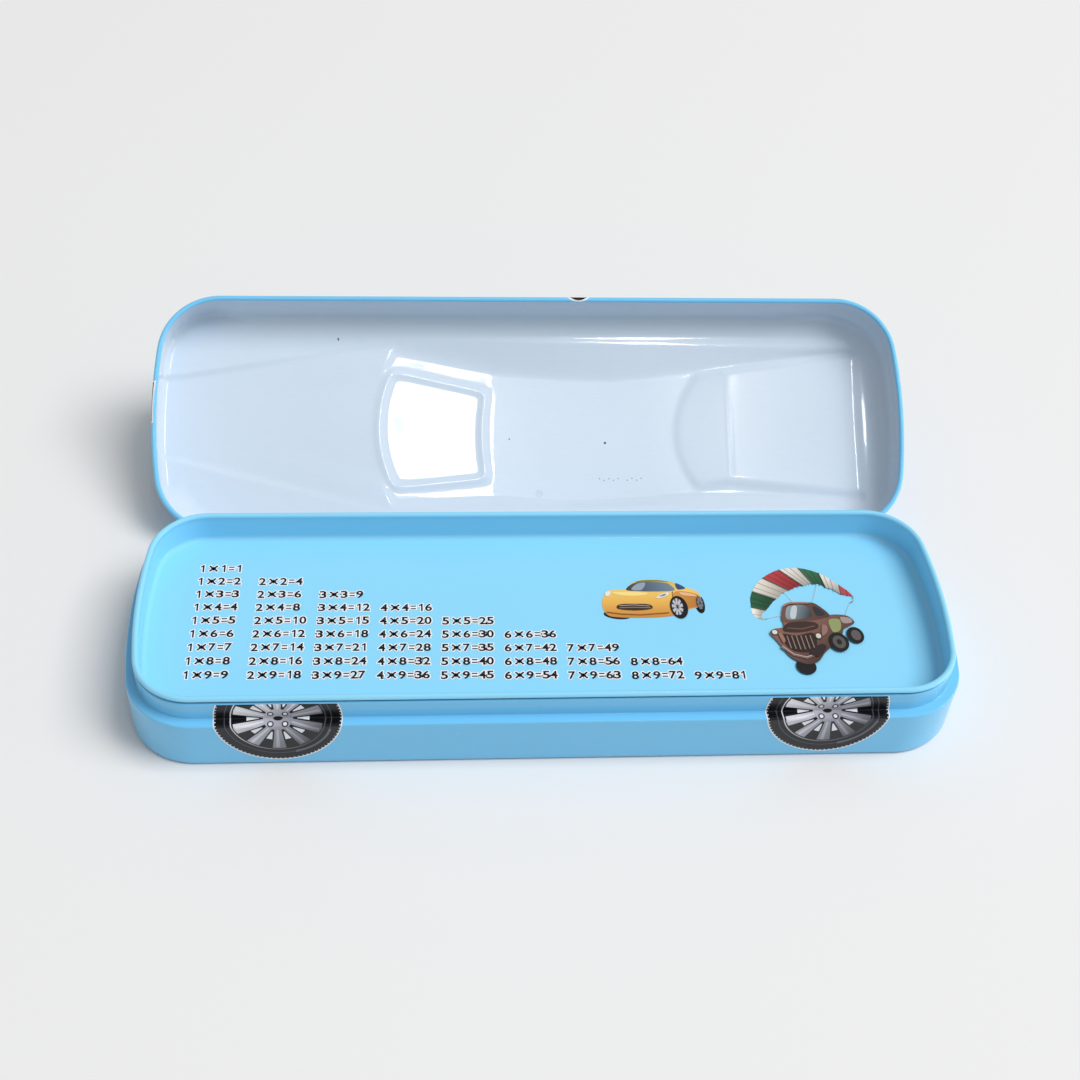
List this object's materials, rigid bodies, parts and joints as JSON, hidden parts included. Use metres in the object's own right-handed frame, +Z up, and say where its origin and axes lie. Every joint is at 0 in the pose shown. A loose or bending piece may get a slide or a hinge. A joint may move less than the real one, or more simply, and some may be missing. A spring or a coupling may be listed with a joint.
{
  "type": "pencil case",
  "caption": "Hinged tin pencil case with bowed ends: a pressed base with a neck, a lift-out tray on the neck, and an embossed lid lying open on two rear hinges.",
  "frame": {"origin": "middle of the base's flat underside, which rests on the table", "axes": "+X along the case, to the right of someone facing its front; +Y towards the hinges at the back; +Z up"},
  "size_m": [0.205, 0.1288, 0.0432],
  "materials": {
    "blue_enamel": "gloss sky blue print and varnish on tinplate",
    "tray_enamel": "gloss sky blue print and varnish on tinplate",
    "hinge_steel": "plain tinned steel, satin"
  },
  "bodies": {
    "base": {"base_shell": "blue_enamel", "base_hinge_leaf_left": "hinge_steel", "base_hinge_leaf_right": "hinge_steel", "hinge_pin_left": "hinge_steel", "hinge_pin_right": "hinge_steel", "base_leaf_rivets": "hinge_steel"},
    "tray": {"lift_out_tray": "tray_enamel"},
    "lid": {"lid_shell": "blue_enamel", "lid_hinge_leaf_left": "hinge_steel", "lid_hinge_leaf_right": "hinge_steel", "lid_leaf_rivets": "hinge_steel"}
  },
  "joints": [
    {"name": "lid_hinge", "type": "hinge", "parent": "base", "child": "lid", "pos_m": [0, 0.0338, 0.0109], "axis": [1, 0, 0], "range_deg": [0, 147.3]},
    {"name": "tray_lift", "type": "slide", "parent": "base", "child": "tray", "axis": [0, 0, 1], "range_m": [0, 0.045]}
  ]
}
